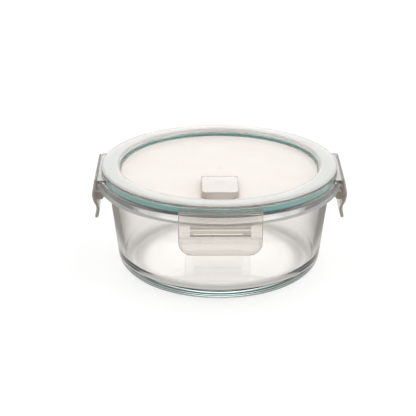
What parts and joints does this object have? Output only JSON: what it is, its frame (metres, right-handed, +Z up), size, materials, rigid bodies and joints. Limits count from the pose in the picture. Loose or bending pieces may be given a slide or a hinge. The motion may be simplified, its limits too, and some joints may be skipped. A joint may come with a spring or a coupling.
{
  "type": "glass food container with latch lid",
  "caption": "Round tempered-glass food container with a ledge rim, a recessed plastic lid, side latches on living hinges, a silicone sealing ring and a flip-up steam vent.",
  "frame": {"origin": "centre of the glass foot, on the surface the bowl stands on", "axes": "+Z up out of the bowl, -Y towards the front latch, +X towards the right latch"},
  "size_m": [0.1594, 0.1594, 0.069],
  "materials": {
    "bowl_glass": "polished pressed borosilicate glass with a faint green edge",
    "lid_plastic": "milky frosted polypropylene with a polished clear rim",
    "clear_plastic": "natural polypropylene, polished, slightly hazy",
    "seal_silicone": "translucent teal silicone"
  },
  "bodies": {
    "bowl": {"glass_bowl": "bowl_glass"},
    "lid": {"lid": "lid_plastic", "seal_ring": "seal_silicone"},
    "vent_flap": {"vent_flap": "clear_plastic", "vent_plug": "seal_silicone"},
    "front_latch": {"front_latch": "clear_plastic"},
    "right_latch": {"right_latch": "clear_plastic"},
    "back_latch": {"back_latch": "clear_plastic"},
    "left_latch": {"left_latch": "clear_plastic"}
  },
  "joints": [
    {"name": "lid_lift", "type": "slide", "parent": "bowl", "child": "lid", "axis": [0, 0, 1], "range_m": [0, 0.0004]},
    {"name": "vent_hinge", "type": "hinge", "parent": "lid", "child": "vent_flap", "pos_m": [0, -0.0244, 0.06655], "axis": [-1, 0, 0], "range_deg": [0, 110]},
    {"name": "front_hinge", "type": "hinge", "parent": "lid", "child": "front_latch", "pos_m": [0, -0.07645, 0.0656], "axis": [-1, 0, 0], "range_deg": [0, 120]},
    {"name": "right_hinge", "type": "hinge", "parent": "lid", "child": "right_latch", "pos_m": [0.07645, 0, 0.0656], "axis": [0, -1, 0], "range_deg": [0, 120]},
    {"name": "back_hinge", "type": "hinge", "parent": "lid", "child": "back_latch", "pos_m": [0, 0.07645, 0.0656], "axis": [1, 0, 0], "range_deg": [0, 120]},
    {"name": "left_hinge", "type": "hinge", "parent": "lid", "child": "left_latch", "pos_m": [-0.07645, 0, 0.0656], "axis": [0, 1, 0], "range_deg": [0, 120]}
  ]
}
